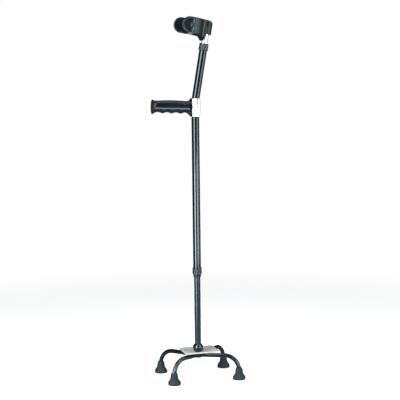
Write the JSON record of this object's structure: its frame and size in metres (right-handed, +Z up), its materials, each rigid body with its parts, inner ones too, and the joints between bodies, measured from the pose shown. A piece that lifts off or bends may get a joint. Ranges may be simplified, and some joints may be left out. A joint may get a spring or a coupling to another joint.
{
  "type": "forearm crutch with quad base",
  "caption": "Height-adjustable forearm crutch with a C-shaped forearm cuff, a horizontal hand grip and a small four-footed base with rubber tips.",
  "frame": {"origin": "at floor level, midway between the feet from side to side and level with the shaft's axis from front to rear; the shaft stands 24 mm to the user's left of it, at y = -0.024", "axes": "+Z up the straight part of the shaft, -X forward, the way the hand grip points, +Y to the user's right"},
  "size_m": [0.2535, 0.1864, 1.0398],
  "materials": {
    "gloss_black_tube": "gloss black enamel on steel and aluminium tube",
    "dark_grey_tube": "satin dark grey anodised aluminium",
    "hub_black": "gloss black moulding",
    "deck_grey": "satin light grey coating on steel",
    "tip_rubber": "matte charcoal rubber",
    "grip_moulding": "satin black soft moulding with a fine grain",
    "nut_plastic": "matte dark grey plastic",
    "bushing_plastic": "matte black plastic",
    "bright_aluminium": "bright satin anodised aluminium",
    "cuff_charcoal": "fine-textured charcoal moulding",
    "cuff_black": "satin black flexible moulding",
    "black_steel": "black oxide on steel",
    "zinc_steel": "bright zinc-plated steel"
  },
  "bodies": {
    "base": {"leg_front_left": "gloss_black_tube", "leg_front_right": "gloss_black_tube", "leg_rear_left": "gloss_black_tube", "leg_rear_right": "gloss_black_tube", "tip_front_left": "tip_rubber", "tip_front_right": "tip_rubber", "tip_rear_left": "tip_rubber", "tip_rear_right": "tip_rubber", "tip_washers": "zinc_steel", "weld_beads": "gloss_black_tube", "leg_boss": "gloss_black_tube", "base_plate": "deck_grey", "hub_ball": "hub_black", "base_bolt": "black_steel", "base_washer": "black_steel", "leg_tube_plug": "zinc_steel", "leg_tube": "dark_grey_tube", "leg_button_spring": "zinc_steel"},
    "leg_button_body": {"leg_button": "zinc_steel"},
    "shaft": {"main_tube": "gloss_black_tube", "lower_bushing": "bushing_plastic", "lower_collet": "bushing_plastic", "upper_bushing": "bushing_plastic", "upper_collet": "bushing_plastic", "grip_bolt": "zinc_steel", "grip_bracket": "bright_aluminium", "grip_insert": "zinc_steel", "grip_core": "zinc_steel", "grip_end_cap": "grip_moulding", "hand_grip": "grip_moulding"},
    "lower_nut": {"lower_lock_nut": "nut_plastic"},
    "upper_nut": {"upper_lock_nut": "nut_plastic"},
    "cuff_post": {"cuff_tube": "bright_aluminium", "cuff_tube_plug": "zinc_steel", "cuff_button_spring": "zinc_steel", "cuff_pivot_pin": "black_steel"},
    "cuff_button_body": {"cuff_button": "zinc_steel"},
    "cuff": {"cuff_band": "cuff_black", "cuff_rivets": "black_steel", "cuff_yoke": "cuff_charcoal"}
  },
  "joints": [
    {"name": "height_slide", "type": "slide", "parent": "base", "child": "shaft", "axis": [0, 0, 1], "range_m": [-0.0762, 0.0762]},
    {"name": "leg_button_press", "type": "slide", "parent": "base", "child": "leg_button_body", "axis": [-1, 0, 0], "range_m": [0, 0.0049], "stiffness_N_per_m": 2500, "springref_m": -0.001, "deforming": ["leg_button_spring"]},
    {"name": "lower_nut_turn", "type": "hinge", "parent": "shaft", "child": "lower_nut", "pos_m": [0, -0.024, 0.3112], "axis": [0, 0, 1], "range_deg": [0, 180]},
    {"name": "cuff_slide", "type": "slide", "parent": "shaft", "child": "cuff_post", "axis": [0.1714, 0, 0.9852], "range_m": [0, 0.0762]},
    {"name": "cuff_button_press", "type": "slide", "parent": "cuff_post", "child": "cuff_button_body", "axis": [-0.9852, 0, 0.1714], "range_m": [0, 0.0049], "stiffness_N_per_m": 2500, "springref_m": -0.001, "deforming": ["cuff_button_spring"]},
    {"name": "upper_nut_turn", "type": "hinge", "parent": "shaft", "child": "upper_nut", "pos_m": [0.02657, -0.024, 0.95341], "axis": [0.1714, 0, 0.9852], "range_deg": [0, 180]},
    {"name": "cuff_tilt", "type": "hinge", "parent": "cuff_post", "child": "cuff", "pos_m": [0.03754, -0.024, 1.01646], "axis": [0, 1, 0], "range_deg": [0, 8]}
  ]
}
